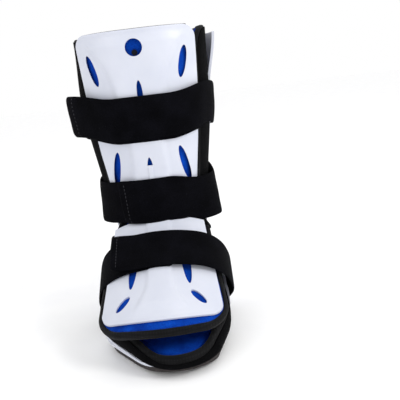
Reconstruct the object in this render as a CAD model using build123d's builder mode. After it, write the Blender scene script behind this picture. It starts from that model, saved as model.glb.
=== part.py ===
"""Ankle foot orthosis boot: a rigid rear shell with a foot bed, a foam liner, a shin panel and
an instep panel with pads, and three hook-and-loop straps.

Millimetres.  +Z is up, the toes point along -Y, and the origin is on the floor under the ankle.
"""
from build123d import *
import os
from math import acos, atan2, cos, degrees, hypot, radians, sin, sqrt

os.makedirs("parts", exist_ok=True)

# ----- overall sizes -----
top_height = 326.0  # top of the shin panel above the floor
shell_top = 318.0  # top edge of the rear shell
ankle_height = 110.0
ankle_half_width = 43.0
calf_half_width = 66.0  # inside the liner, at the top
ball_half_width = 34.0 + 18.0  # inside the liner, at the ball of the foot
toe_reach = 146.0  # ankle to the centre of the toe curve

# ----- layers, from the skin outwards -----
liner_thickness = 8.0
shell_gap = 1.5  # filled by the hook dots that hold the liner
shell_thickness = 3.0
panel_thickness = 2.5
pad_thickness = 8.0
strap_thickness = 2.4
hook_thickness = 0.7
clearance = 0.3

shell_inside = liner_thickness + shell_gap
shell_outside = shell_inside + shell_thickness
pad_inside = 1.0
pad_outside = pad_inside + pad_thickness
panel_inside = pad_outside + clearance
panel_outside = panel_inside + panel_thickness
loop_inside = max(panel_outside, shell_outside) + clearance
loop_outside = loop_inside + strap_thickness
hook_inside = loop_outside + clearance
hook_outside = hook_inside + hook_thickness
strap_outside = hook_outside + strap_thickness

# ----- sole -----
sole_thickness = 9.0
sole_inset = 4.5  # outsole edge, in from the shell
plate_top = sole_thickness + shell_thickness
insole_thickness = 6.0
tread_depth = 2.0
tread_width = 5.0
tread_pitch = 15.0
tread_count = 17
tread_margin = 9.0
sole_edge_radius = 2.5
heel_pad_radius = 14.0  # smooth round under the heel, with no tread
toe_spring = 6.0  # rise of the sole's underside at the toes
toe_spring_length = 36.0
screw_places = ((0, 34), (0, 0), (0, -45), (-26, -96), (28, -108), (10, -148))
screw_radius = 2.0
screw_head_radius = 4.5
screw_head_height = 2.2
screw_recess = 3.7
nut_radius = 5.0
nut_height = 1.4
screw_cross = (6.0, 1.2, 2.0)  # length, width and depth of the cross recess

# ----- straps -----
strap_width = 50.0
calf_strap_height = 236.0
ankle_strap_height = 143.0
hinge_back = 12.0  # fold line of the two leg straps, behind the leg axis
tab_length = 26.0
calf_free_end = -71.0  # the free end of each over-strap, left of the middle
ankle_free_end = -43.0
instep_free_end = -54.0
loop_end = -6.0  # the hidden end of each under-strap
hook_length = 30.0
hook_margin = 4.0
instep_loop_end = -14.0
rivet_radius = 2.2
rivet_head_radius = 4.6
rivet_head_height = 1.6
rivet_head_taper = 20
rivet_angle = 20.0  # leg rivets sit this far round the rear corner
foot_rivet_places = ((-64.0, 34.0), (-48.0, 42.0))  # along and up
foot_rivet_out = 50.0 + shell_outside
foot_rivet_slant = 0.08  # the foot bed widens towards the toes

# ----- instep: a slope from the ankle bend down to the toes -----
bend_front = 53.0
bend_height = 117.0
instep_run = 107.0
instep_drop = 59.0
instep_radius = 110.0  # outer face of the instep panel
instep_top = ankle_strap_height - strap_width / 2 + 3.5  # cut level under the shin panel
instep_length = 134.0  # ankle bend to the panel's toe edge
instep_top_half_width = 51.0
instep_toe_half_width = 61.0
instep_toe_bow = 14.0  # the toe edge's ends lie this far back from its middle
instep_toe_corner = 12.0
instep_pad_corner = 16.0
instep_upper = -14.0  # where the instep pieces start, up the slope
pad_overhang = 15.0  # pad past the panel's toe edge
pad_side_overhang = 3.0
binding_width = 8.0
instep_strap_place = 45.0  # down the slope
instep_strap_side = 60.5 + shell_outside
instep_strap_foot = 62.0  # strap ends this far under the slope line
instep_strap_bend = 22.0

# ----- trims -----
shell_front = 4.0
shell_foot_trim = ((-24.0, 66.0), (-96.0, 54.0), (-134.0, 25.0))  # along and up, down to the toes
shell_toe_trim = 14.0
shell_trim_radius = 4.0
shell_vent_pitch = (44.0, 62.0)
shell_vent_middle = 205.0
shell_vent_size = (38.0, 10.0)
dot_radius = 9.0
dot_across = (-22.0, 22.0)
dot_heights = (86.0, 174.0, 236.0, 298.0)
liner_front = 30.0
liner_split = 96.0
shin_front = 31.0
shin_bottom = 122.0
shin_top_corner = 13.0
shin_foot_corner = 6.0
stud_radius = 2.0
stud_drop = 5.0  # stud, under the vent's middle
window_toe_height = 22.0
window_side_height = 62.0
window_corner = 5.0
window_slope = (-28.0, -4.0, 26.0)  # window corners along, from the centre of the toe curve
wide = 260.0  # larger than the boot across

# ----- openings in the panels: centre across, centre up, length, width, tilt -----
vent_height = top_height - 18.5
vent_radius = 9.0
upper_slot = (48.0, top_height - 38.0, 33.0, 7.5, 13.5)
lower_slot = (38.0, 179.0, 40.0, 8.0, -10.0)
centre_slot = (0.0, top_height - 66.0, 28.0, 5.5, 0.0)
arrow_tip = 191.5
arrow_width = 7.0
arrow_height = 10.0
arrow_notch = 2.5
instep_long_slot = (27.0, 52.0, 76.0, 8.0, -5.0)
instep_short_slot = (38.0, 105.5, 19.0, 7.0, -43.0)

# Leg cavity: height, half width, front, back and corner radius of a rounded rectangle.
leg_stations = (
    (sole_thickness, 33.0, -36.0, 58.0, 31.0),
    (60.0, 35.0, -38.0, 60.0, 33.0),
    (ankle_height, ankle_half_width, -40.2, 50.0, ankle_half_width - 5.0),
    (ankle_height + 55.0, 51.0, -42.8, 53.0, 44.0),
    (ankle_height + 125.0, calf_half_width - 4.0, -46.2, 62.0, calf_half_width - 14.0),
    (top_height + 4.0, calf_half_width, -50.7, calf_half_width, calf_half_width - 12.0),
)

# Foot cavity: circles (across, along, radius) joined by their tangents, at the sole and higher up.
ball_radius = 34.0
toe_radius = 33.0
ball_offset = ball_half_width - ball_radius
foot_low = (
    (0.0, 22.0, 30.0),
    (-ball_offset - 1.0, -103.0, ball_radius),
    (12.0, -toe_reach, toe_radius),
    (ball_offset, -120.0, ball_radius),
)
foot_high = (
    (0.0, 4.0, 38.0),
    (-ball_offset - 12.0, -118.0, ball_radius + 6.0),
    (-2.0, -toe_reach, ball_radius + 8.0),
    (ball_offset + 20.0, -118.0, ball_radius + 6.0),
)
foot_top = 112.0
heel_circle = (0.0, 25.0, 33.0)


# ----- helpers -----
def tangent_outline(circles, grow):
    """Counter-clockwise outline of arcs on the grown circles and the lines that touch them."""
    touches = []
    count = len(circles)
    for index in range(count):
        x1, y1, r1 = circles[index]
        x2, y2, r2 = circles[(index + 1) % count]
        heading = atan2(y2 - y1, x2 - x1)
        outward = heading - acos((r1 - r2) / hypot(x2 - x1, y2 - y1))
        leave = (x1 + (r1 + grow) * cos(outward), y1 + (r1 + grow) * sin(outward))
        arrive = (x2 + (r2 + grow) * cos(outward), y2 + (r2 + grow) * sin(outward))
        touches.append((outward, leave, arrive))
    with BuildLine() as outline:
        for index in range(count):
            x, y, radius = circles[index]
            turn_in, _, start = touches[index - 1]
            turn_out, end, after = touches[index]
            sweep_angle = (turn_out - turn_in) % radians(360)
            middle = turn_in + sweep_angle / 2
            top = (x + (radius + grow) * cos(middle), y + (radius + grow) * sin(middle))
            ThreePointArc(start, top, end)
            Line(end, after)
    return outline.line


def leg_solid(grow):
    """The leg cavity grown outwards, from the sole to just above the top."""
    with BuildPart() as leg:
        for height, half, front, back, corner in leg_stations:
            centre = (0, (front + back) / 2)
            with BuildSketch(Plane.XY.offset(height)):
                with Locations(centre):
                    RectangleRounded(2 * (half + grow), back - front + 2 * grow, corner + grow)
        loft(ruled=True)
    return leg.part


def foot_solid(grow):
    """The foot cavity grown outwards, with walls that flare from the sole up."""
    with BuildPart() as foot:
        for height, circles in ((sole_thickness, foot_low), (foot_top, foot_high)):
            with BuildSketch(Plane.XY.offset(height)):
                add(tangent_outline(circles, grow))
                make_face()
        loft(ruled=True)
    return foot.part


def boot_solid(grow, floor):
    """Leg and foot cavity together, grown outwards and cut flat at the floor height."""
    leg = leg_solid(grow)
    foot = foot_solid(grow)
    with BuildPart() as boot:
        add(leg)
        add(foot)
        split(bisect_by=Plane.XY.offset(floor), keep=Keep.TOP)
    return boot.part


def layer(inside, outside, low, high):
    """A sleeve round the leg between two grown cavities, from one height to another."""
    outer = leg_solid(outside)
    inner = leg_solid(inside)
    with BuildPart() as sleeve:
        add(outer)
        add(inner, mode=Mode.SUBTRACT)
        split(bisect_by=Plane.XY.offset(low), keep=Keep.TOP)
        split(bisect_by=Plane.XY.offset(high), keep=Keep.BOTTOM)
    return sleeve.part


def block(x_range, y_range, z_range):
    """A box given by its limits along each axis."""
    sizes = [limits[1] - limits[0] for limits in (x_range, y_range, z_range)]
    middles = [sum(limits) / 2 for limits in (x_range, y_range, z_range)]
    with BuildPart() as box:
        with Locations(tuple(middles)):
            Box(*sizes)
    return box.part


def side_profile(points, radius):
    """A prism across the whole boot from an outline in the YZ plane, with rounded corners."""
    with BuildPart() as prism:
        with BuildSketch(Plane.YZ) as outline:
            with BuildLine():
                Polyline(*points, close=True)
            make_face()
            fillet(outline.vertices(), radius)
        extrude(amount=wide / 2, both=True)
    return prism.part


def leg_size(height):
    """Half width, front, back and corner radius of the leg cavity at a height."""
    for low, high in zip(leg_stations, leg_stations[1:]):
        if height <= high[0]:
            share = (height - low[0]) / (high[0] - low[0])
            return [a + share * (b - a) for a, b in zip(low[1:], high[1:])]
    return list(leg_stations[-1][1:])


def back_corner_plane(height, angle, side, grow):
    """A plane on the grown leg surface in its rear corner, facing outwards."""
    half, _, back, corner = leg_size(height)
    across = half - corner + (corner + grow) * cos(radians(angle))
    along = back - corner + (corner + grow) * sin(radians(angle))
    outward = (side * cos(radians(angle)), sin(radians(angle)), 0)
    return Plane(origin=(side * across, along, height), x_dir=(0, 0, 1), z_dir=outward)


slope_length = hypot(instep_run, instep_drop)
down_slope = Vector(0, -instep_run / slope_length, -instep_drop / slope_length)
off_slope = Vector(0, -instep_drop / slope_length, instep_run / slope_length)
ankle_bend = Vector(0, -bend_front, bend_height)
instep_section = Plane(origin=ankle_bend, x_dir=(1, 0, 0), z_dir=down_slope)
instep_face = Plane(origin=ankle_bend, x_dir=(1, 0, 0), z_dir=off_slope)


def instep_layer(inside, outside, low, high):
    """Part of a tube round the foot's instep, along the slope."""
    with BuildPart() as tube:
        with BuildSketch(instep_section.offset(low)):
            with Locations((0, -instep_radius)):
                Circle(outside)
                Circle(inside, mode=Mode.SUBTRACT)
        extrude(amount=high - low)
        split(bisect_by=instep_face.offset(-instep_radius), keep=Keep.TOP)
    return tube.part


def instep_outline(extra_side, extra_toe, corner):
    """A prism over the slope with the instep panel's outline, grown to the sides and toe."""
    upper = instep_top_half_width + extra_side
    lower = instep_toe_half_width + extra_side
    toe = instep_length + extra_toe
    with BuildPart() as prism:
        with BuildSketch(instep_face) as outline:
            with BuildLine():
                top = Line((-upper, -instep_upper), (upper, -instep_upper))
                right = Line(top @ 1, (lower, instep_toe_bow - toe))
                front = ThreePointArc(right @ 1, (0, -toe), (-lower, instep_toe_bow - toe))
                Line(front @ 1, top @ 0)
            make_face()
            fillet(outline.vertices().group_by(Axis.Y)[0], corner)
        extrude(amount=wide / 2, both=True)
    return prism.part


def slots(entries):
    """Elliptical openings mirrored left and right, as one sketch in the current plane."""
    for across, up, length, width, tilt in entries:
        for side in (-1, 1):
            with Locations((side * across, up)):
                Ellipse(length / 2, width / 2, rotation=90 - side * tilt)


def rivet_set(planes, length):
    """Rivets with a domed head outside each plane and a shank that goes in by the length."""
    with BuildPart() as rivets:
        for plane in planes:
            with BuildSketch(plane):
                Circle(rivet_radius)
            extrude(amount=-length)
            with BuildSketch(plane):
                Circle(rivet_head_radius)
            extrude(amount=rivet_head_height, taper=rivet_head_taper)
    return rivets.part


# ----- outsole -----
sole_grow = shell_outside - sole_inset
sole_circles = (heel_circle,) + foot_low[1:]
sole_end = toe_reach + toe_radius + sole_grow
with BuildPart() as outsole:
    with BuildSketch():
        add(tangent_outline(sole_circles, sole_grow))
        make_face()
    extrude(amount=sole_thickness)
    fillet(outsole.faces().sort_by(Axis.Z)[0].edges(), sole_edge_radius)
    with BuildSketch() as tread:
        with Locations((0, -60 - tread_pitch / 2)):
            with GridLocations(1, tread_pitch, 1, tread_count):
                Rectangle(wide, tread_width)
        with BuildLine():
            add(tangent_outline(sole_circles, sole_grow - tread_margin))
        make_face(mode=Mode.INTERSECT)
        Circle(heel_pad_radius, mode=Mode.SUBTRACT)
        with Locations(*screw_places):
            Circle(screw_head_radius + 4.0, mode=Mode.SUBTRACT)
    extrude(amount=tread_depth, mode=Mode.SUBTRACT)
    with Locations(*[(x, y, 0) for x, y in screw_places]):
        Cylinder(screw_head_radius + clearance, screw_recess, mode=Mode.SUBTRACT,
                 align=(Align.CENTER, Align.CENTER, Align.MIN))
        Cylinder(screw_radius + clearance, sole_thickness, mode=Mode.SUBTRACT,
                 align=(Align.CENTER, Align.CENTER, Align.MIN))
    with BuildSketch(Plane.YZ):
        with BuildLine():
            Polyline((toe_spring_length - sole_end, 0), (-sole_end, toe_spring), (-wide, toe_spring),
                     (-wide, -1), (toe_spring_length - sole_end, -1), close=True)
        make_face()
    extrude(amount=wide / 2, both=True, mode=Mode.SUBTRACT)

with BuildPart() as sole_screws:
    with Locations(*[(x, y, screw_recess - screw_head_height) for x, y in screw_places]):
        Cylinder(screw_head_radius, screw_head_height,
                 align=(Align.CENTER, Align.CENTER, Align.MIN))
        with Locations((0, 0, screw_head_height)):
            Cylinder(screw_radius, plate_top + nut_height - screw_recess,
                     align=(Align.CENTER, Align.CENTER, Align.MIN))
    with Locations(*[(x, y, screw_recess - screw_head_height) for x, y in screw_places]):
        Box(screw_cross[1], screw_cross[0], screw_cross[2], mode=Mode.SUBTRACT)
        Box(*screw_cross, mode=Mode.SUBTRACT)

with BuildPart() as sole_nuts:
    with BuildSketch(Plane.XY.offset(plate_top)):
        with Locations(*screw_places):
            Circle(nut_radius)
            Circle(screw_radius, mode=Mode.SUBTRACT)
    extrude(amount=nut_height)

# ----- rivets that hold the straps to the shell -----
rivet_heights = [h + s * strap_width / 4 for h in (calf_strap_height, ankle_strap_height) for s in (-1, 1)]
shank_length = loop_outside - liner_thickness - 2 * clearance
leg_rivet_planes = {
    side: [back_corner_plane(height, rivet_angle, side, loop_outside) for height in rivet_heights]
    for side in (-1, 1)
}


def foot_rivet_planes(side):
    """Planes for the instep strap's rivets, on the side wall of the foot bed."""
    middle = sum(y for y, z in foot_rivet_places) / 2
    out = foot_rivet_out + loop_outside - shell_outside
    return [
        Plane(origin=(side * (out - foot_rivet_slant * (y - middle)), y, z),
              x_dir=(0, 0, 1), z_dir=(side, 0, 0))
        for y, z in foot_rivet_places
    ]


rivets_left = rivet_set(leg_rivet_planes[-1] + foot_rivet_planes(-1), shank_length)
rivets_right = rivet_set(leg_rivet_planes[1] + foot_rivet_planes(1), shank_length)

# ----- rear shell -----
shell_solid = boot_solid(shell_outside, sole_thickness)
shell_hollow = boot_solid(shell_inside, plate_top)
toe_end = toe_reach + ball_half_width + shell_outside
shell_keep = side_profile(
    ((100, sole_thickness - 20), (100, shell_top), (shell_front, shell_top),
     (shell_front, ankle_height), *shell_foot_trim, (-toe_end, shell_toe_trim),
     (-toe_end, sole_thickness - 20)),
    shell_trim_radius,
)
with BuildPart() as rear_shell:
    add(shell_solid)
    add(shell_hollow, mode=Mode.SUBTRACT)
    add(shell_keep, mode=Mode.INTERSECT)
    with Locations(*[(x, y, plate_top) for x, y in screw_places]):
        Cylinder(screw_radius + clearance, 2 * shell_thickness + 1, mode=Mode.SUBTRACT)
    with BuildSketch(Plane.XZ):
        with GridLocations(*shell_vent_pitch, 2, 3):
            with Locations((0, shell_vent_middle)):
                SlotOverall(*shell_vent_size, rotation=90)
    extrude(amount=-wide / 2, mode=Mode.SUBTRACT)
    add(rivets_left, mode=Mode.SUBTRACT)
    add(rivets_right, mode=Mode.SUBTRACT)

# ----- liner: a padded sock open at the front and at the toes -----
liner_bottom = plate_top + clearance
liner_solid = boot_solid(liner_thickness, liner_bottom)
cavity = boot_solid(0.0, sole_thickness)
instep_underside = instep_radius - panel_thickness - clearance - pad_thickness
instep_zone = instep_layer(instep_underside - clearance, wide, instep_upper - 0.5, 2 * instep_length)
window_points = ((-wide, window_toe_height), (window_slope[0] - toe_reach, window_toe_height),
                 (window_slope[1] - toe_reach, window_side_height), (window_slope[2] - toe_reach, 90.0),
                 (-wide, 140.0))
toe_window = side_profile(window_points, window_corner)
window_lowered = side_profile([(y, z - binding_width) for y, z in window_points], window_corner)

with BuildPart() as liner_whole:
    add(liner_solid)
    add(cavity, mode=Mode.SUBTRACT)
    add(instep_zone, mode=Mode.SUBTRACT)
    add(toe_window, mode=Mode.SUBTRACT)

foot_half = block((-wide, wide), (-wide, wide), (liner_bottom - 5, liner_split))
leg_half = block((-wide, wide), (-liner_front, wide), (liner_split + clearance, top_height))
wing_edge = block((-wide, wide), (-wide, binding_width - liner_front), (0, top_height + 5))

with BuildPart() as foot_liner:
    add(liner_whole.part)
    add(foot_half, mode=Mode.INTERSECT)
    add(window_lowered, mode=Mode.SUBTRACT)

with BuildPart() as foot_liner_binding:
    add(liner_whole.part)
    add(foot_half, mode=Mode.INTERSECT)
    add(window_lowered, mode=Mode.INTERSECT)

with BuildPart() as calf_liner:
    add(liner_whole.part)
    add(leg_half, mode=Mode.INTERSECT)
    add(wing_edge, mode=Mode.SUBTRACT)

with BuildPart() as calf_liner_binding:
    add(liner_whole.part)
    add(leg_half, mode=Mode.INTERSECT)
    add(wing_edge, mode=Mode.INTERSECT)

with BuildPart() as insole_pad:
    add(boot_solid(-clearance, liner_bottom))
    split(bisect_by=Plane.XY.offset(liner_bottom + insole_thickness), keep=Keep.BOTTOM)
    with Locations(*[(x, y, liner_bottom) for x, y in screw_places]):
        Cylinder(nut_radius + 0.7, 2 * (nut_height + clearance), mode=Mode.SUBTRACT)

dot_sleeve = layer(liner_thickness + clearance / 2, shell_inside - clearance / 2,
                   dot_heights[0] - 2 * dot_radius, dot_heights[-1] + 2 * dot_radius)
with BuildPart() as liner_hook_dots:
    with BuildSketch(Plane.XZ):
        with Locations(*[(x, z) for x in dot_across for z in dot_heights]):
            Circle(dot_radius)
    extrude(amount=-wide / 2)
    add(dot_sleeve, mode=Mode.INTERSECT)

with BuildPart() as rivet_washers:
    for side in (-1, 1):
        for height in rivet_heights:
            with BuildSketch(back_corner_plane(height, rivet_angle, side, shell_inside)):
                Circle(rivet_head_radius)
                Circle(rivet_radius, mode=Mode.SUBTRACT)
            extrude(amount=shell_gap, both=True)
    add(dot_sleeve, mode=Mode.INTERSECT)

# ----- shin panel and its pad -----
shin_outline = (
    (calf_half_width - 1.0, top_height), (calf_half_width - 4.0, 258.0),
    (ankle_half_width + 12.5, 206.0), (ankle_half_width + 10.0, shin_bottom),
)
front_part = block((-wide, wide), (-wide, -shin_front), (0, top_height + 5))
panel_sleeve = layer(panel_inside, panel_outside, shin_bottom, top_height)
with BuildPart() as shin_panel:
    with BuildSketch(Plane.XZ) as shin_sketch:
        with BuildLine():
            Polyline(*shin_outline, *[(-x, z) for x, z in reversed(shin_outline)], close=True)
        make_face()
        fillet(shin_sketch.vertices().group_by(Axis.Y)[-1], shin_top_corner)
        fillet(shin_sketch.vertices().group_by(Axis.Y)[0], shin_foot_corner)
        with Locations((0, vent_height)):
            Circle(vent_radius, mode=Mode.SUBTRACT)
    extrude(amount=wide / 2)
    add(panel_sleeve, mode=Mode.INTERSECT)
    add(front_part, mode=Mode.INTERSECT)
    with BuildSketch(Plane.XZ):
        slots((upper_slot, lower_slot, centre_slot))
        with BuildLine():
            Polyline((0, arrow_tip), (arrow_width / 2, arrow_tip - arrow_height),
                     (0, arrow_tip - arrow_height + arrow_notch),
                     (-arrow_width / 2, arrow_tip - arrow_height),
                     close=True)
        make_face()
    extrude(amount=wide / 2, mode=Mode.SUBTRACT)

pad_sleeve = layer(pad_inside, pad_outside, shin_bottom, top_height)
pad_rim = block((-wide, wide), (-wide, wide), (top_height - binding_width, top_height + 5))
stud_height = vent_height - stud_drop
stud_plane = Plane(origin=(0, leg_size(stud_height)[1] - pad_outside, stud_height),
                   x_dir=(1, 0, 0), z_dir=(0, -1, 0))
with BuildPart() as shin_pad_stud:
    with Locations(stud_plane):
        Cylinder(stud_radius, 2.0, align=(Align.CENTER, Align.CENTER, Align.MAX))
        Cylinder(stud_radius + 1.0, 1.0, align=(Align.CENTER, Align.CENTER, Align.MIN))

with BuildPart() as shin_pad:
    add(pad_sleeve)
    add(front_part, mode=Mode.INTERSECT)
    add(pad_rim, mode=Mode.SUBTRACT)
    add(shin_pad_stud.part, mode=Mode.SUBTRACT)

with BuildPart() as shin_pad_binding:
    add(pad_sleeve)
    add(front_part, mode=Mode.INTERSECT)
    add(pad_rim, mode=Mode.INTERSECT)

# ----- instep panel and its pad -----
below_shin = block((-wide, wide), (-wide, wide), (0, instep_top))
instep_panel_shape = instep_outline(0.0, 0.0, instep_toe_corner)
instep_pad_shape = instep_outline(pad_side_overhang, pad_overhang, instep_pad_corner)
instep_pad_core = instep_outline(pad_side_overhang + binding_width / 2, pad_overhang - binding_width,
                                 instep_pad_corner)
instep_tube = instep_layer(instep_radius - panel_thickness, instep_radius, instep_upper, 200.0)
instep_pad_tube = instep_layer(instep_underside, instep_underside + pad_thickness, instep_upper, 200.0)

with BuildPart() as instep_panel:
    add(instep_tube)
    add(instep_panel_shape, mode=Mode.INTERSECT)
    add(below_shin, mode=Mode.INTERSECT)
    with BuildSketch(instep_face):
        slots([(x, -down, length, width, tilt) for x, down, length, width, tilt in
               (instep_long_slot, instep_short_slot)])
    extrude(amount=wide / 4, both=True, mode=Mode.SUBTRACT)

with BuildPart() as instep_pad:
    add(instep_pad_tube)
    add(instep_pad_shape, mode=Mode.INTERSECT)
    add(below_shin, mode=Mode.INTERSECT)
    add(instep_pad_core, mode=Mode.INTERSECT)

with BuildPart() as instep_pad_binding:
    add(instep_pad_tube)
    add(instep_pad_shape, mode=Mode.INTERSECT)
    add(below_shin, mode=Mode.INTERSECT)
    add(instep_pad_core, mode=Mode.SUBTRACT)


# ----- straps round the leg -----
def leg_strap(height, free_end):
    """An over-strap: from its fold line on the right, round the front, to its free end."""
    low = height - strap_width / 2
    band = layer(hook_outside, strap_outside, low, low + strap_width)
    right_side = block((0, wide), (-wide, hinge_back - clearance), (0, wide * 2))
    left_front = block((free_end, 1), (-wide, 0), (0, wide * 2))
    with BuildPart() as strap:
        add(right_side)
        add(left_front)
        add(band, mode=Mode.INTERSECT)
    return strap.part


def leg_hook(height, free_end):
    """The hook patch sewn inside an over-strap's free end."""
    low = height - strap_width / 2 + hook_margin
    band = layer(hook_inside, hook_outside, low, low + strap_width - 2 * hook_margin)
    near = free_end + hook_margin
    patch = block((near, near + hook_length), (-wide, 0), (0, wide * 2))
    with BuildPart() as hook:
        add(band)
        add(patch, mode=Mode.INTERSECT)
    return hook.part


def leg_loop(height):
    """An under-strap: riveted to the shell on the left, and ending under the over-strap."""
    low = height - strap_width / 2
    band = layer(loop_inside, loop_outside, low, low + strap_width)
    left_side = block((-wide, 0), (-wide, hinge_back + tab_length), (0, wide * 2))
    past_end = block((loop_end, 1), (-wide, 0), (0, wide * 2))
    with BuildPart() as loop:
        add(band)
        add(left_side, mode=Mode.INTERSECT)
        add(past_end, mode=Mode.SUBTRACT)
        add(rivets_left, mode=Mode.SUBTRACT)
    return loop.part


def leg_tab(height):
    """The riveted end of an over-strap, behind its fold line."""
    low = height - strap_width / 2
    band = layer(loop_inside, loop_outside, low, low + strap_width)
    patch = block((0, wide), (hinge_back, hinge_back + tab_length), (0, wide * 2))
    with BuildPart() as tab:
        add(band)
        add(patch, mode=Mode.INTERSECT)
        add(rivets_right, mode=Mode.SUBTRACT)
    return tab.part


# ----- straps over the instep -----
over_radius = instep_radius + clearance + strap_thickness + clearance + hook_thickness
under_radius = instep_radius + clearance
strap_start = instep_strap_place - strap_width / 2
strap_foot_plane = instep_face.offset(-instep_strap_foot)


def instep_band(side, inner_radius, across_from):
    """Half of an instep strap: over the panel from a place across, then down one side."""
    middle = inner_radius + strap_thickness / 2
    edge = instep_strap_side - instep_strap_bend
    tangent = degrees(atan2(edge, sqrt((middle - instep_strap_bend) ** 2 - edge ** 2)))
    start = degrees(acos(across_from / middle))
    with BuildPart() as band:
        with BuildSketch(instep_section.offset(strap_start)):
            with BuildLine() as path:
                over = CenterArc((0, -instep_radius), middle, start, 90 - side * tangent - start)
                down = JernArc(over @ 1, over % 1, instep_strap_bend, -side * (90 - tangent))
                Line(down @ 1, (side * instep_strap_side, -instep_strap_foot))
            trace(path.line, strap_thickness)
        extrude(amount=strap_width)
    return band.part


def instep_patch(side, low, high):
    """Webbing that lies on the shell's side wall between two depths under the slope."""
    outer = boot_solid(loop_outside, plate_top)
    inner = boot_solid(loop_inside, sole_thickness)
    with BuildPart() as patch:
        with BuildSketch(instep_section.offset(strap_start)):
            with Locations((side * wide / 2, (low + high) / 2)):
                Rectangle(wide, abs(high - low))
        extrude(amount=strap_width)
        add(outer, mode=Mode.INTERSECT)
        add(inner, mode=Mode.SUBTRACT)
    return patch.part


tab_low = -instep_strap_foot - tab_length
right_patch = instep_patch(1, -instep_strap_foot - clearance, tab_low)
left_patch = instep_patch(-1, -instep_strap_foot, tab_low)
left_band = instep_band(-1, under_radius, instep_loop_end)

with BuildPart() as instep_strap_hook:
    add(instep_layer(over_radius - hook_thickness, over_radius, strap_start + hook_margin,
                     strap_start + strap_width - hook_margin))
    hook_start = instep_free_end + hook_margin
    add(block((hook_start, hook_start + hook_length), (-wide, wide), (0, wide)), mode=Mode.INTERSECT)

with BuildPart() as instep_under_strap:
    add(left_band)
    add(left_patch)
    add(rivets_left, mode=Mode.SUBTRACT)

with BuildPart() as instep_strap_tab:
    add(right_patch)
    add(rivets_right, mode=Mode.SUBTRACT)

# ----- write every piece -----
pieces = {
    "outsole": outsole.part,
    "sole_screws": sole_screws.part,
    "sole_nuts": sole_nuts.part,
    "rear_shell": rear_shell.part,
    "insole_pad": insole_pad.part,
    "foot_liner": foot_liner.part,
    "foot_liner_binding": foot_liner_binding.part,
    "calf_liner": calf_liner.part,
    "calf_liner_binding": calf_liner_binding.part,
    "liner_hook_dots": liner_hook_dots.part,
    "shin_panel": shin_panel.part,
    "shin_pad": shin_pad.part,
    "shin_pad_binding": shin_pad_binding.part,
    "shin_pad_stud": shin_pad_stud.part,
    "instep_panel": instep_panel.part,
    "instep_pad": instep_pad.part,
    "instep_pad_binding": instep_pad_binding.part,
    "calf_strap": leg_strap(calf_strap_height, calf_free_end),
    "calf_strap_hook": leg_hook(calf_strap_height, calf_free_end),
    "calf_under_strap": leg_loop(calf_strap_height),
    "calf_strap_tab": leg_tab(calf_strap_height),
    "ankle_strap": leg_strap(ankle_strap_height, ankle_free_end),
    "ankle_strap_hook": leg_hook(ankle_strap_height, ankle_free_end),
    "ankle_under_strap": leg_loop(ankle_strap_height),
    "ankle_strap_tab": leg_tab(ankle_strap_height),
    "instep_strap": instep_band(1, over_radius, instep_free_end),
    "instep_strap_hook": instep_strap_hook.part,
    "instep_under_strap": instep_under_strap.part,
    "instep_strap_tab": instep_strap_tab.part,
    "strap_rivets_left": rivets_left,
    "strap_rivets_right": rivets_right,
    "rivet_washers": rivet_washers.part,
}
for name, piece in pieces.items():
    piece.label = name
    export_step(piece, f"parts/{name}.step")
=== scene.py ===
# %% [markdown]
# # Ankle foot orthosis boot
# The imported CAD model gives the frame: where every piece sits and what it moves with. This file
# dresses it. Plates, foam and webbing are surfaces worked out with numpy from one description of
# the leg and the foot, so that layers lie on each other with even gaps. All sizes here are in
# millimetres and turn into metres when a mesh is made.

# %% Load the frame
import math

import bmesh
import bpy
import numpy as np
from mathutils import Matrix, Vector


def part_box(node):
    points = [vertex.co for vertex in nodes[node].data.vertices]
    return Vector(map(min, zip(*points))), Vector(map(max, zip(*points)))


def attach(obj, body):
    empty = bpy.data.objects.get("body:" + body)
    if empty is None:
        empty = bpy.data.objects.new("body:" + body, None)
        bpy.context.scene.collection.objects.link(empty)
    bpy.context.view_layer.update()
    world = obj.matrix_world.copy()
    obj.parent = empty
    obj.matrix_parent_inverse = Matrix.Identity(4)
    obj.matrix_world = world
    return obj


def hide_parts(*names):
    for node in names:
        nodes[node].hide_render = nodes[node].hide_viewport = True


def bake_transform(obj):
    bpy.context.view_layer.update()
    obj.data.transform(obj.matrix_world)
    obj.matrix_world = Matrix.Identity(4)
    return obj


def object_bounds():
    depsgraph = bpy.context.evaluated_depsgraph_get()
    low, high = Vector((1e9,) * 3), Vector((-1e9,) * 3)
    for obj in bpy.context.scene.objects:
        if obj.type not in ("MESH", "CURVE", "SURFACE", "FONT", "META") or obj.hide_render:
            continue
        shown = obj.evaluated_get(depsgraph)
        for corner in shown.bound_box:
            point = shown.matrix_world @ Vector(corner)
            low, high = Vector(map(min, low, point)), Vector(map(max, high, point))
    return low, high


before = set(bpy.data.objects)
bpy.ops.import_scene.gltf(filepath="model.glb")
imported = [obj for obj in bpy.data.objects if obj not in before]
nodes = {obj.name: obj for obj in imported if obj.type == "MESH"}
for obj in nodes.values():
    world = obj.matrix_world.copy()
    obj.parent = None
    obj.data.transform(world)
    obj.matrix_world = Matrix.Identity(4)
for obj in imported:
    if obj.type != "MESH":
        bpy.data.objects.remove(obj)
cad_low, cad_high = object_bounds()
print("CAD box in mm", [round(v * 1000, 1) for v in (*cad_low, *cad_high)])

# %% [markdown]
# ## The body that the boot is built round
# A real orthosis is shaped over a leg form. Its horizontal sections could be drawn as splines,
# but a support function is simpler to reason about: for each direction it says how far the
# section reaches, growing it by a wall only adds the wall, and two of them combine cleanly.

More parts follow.
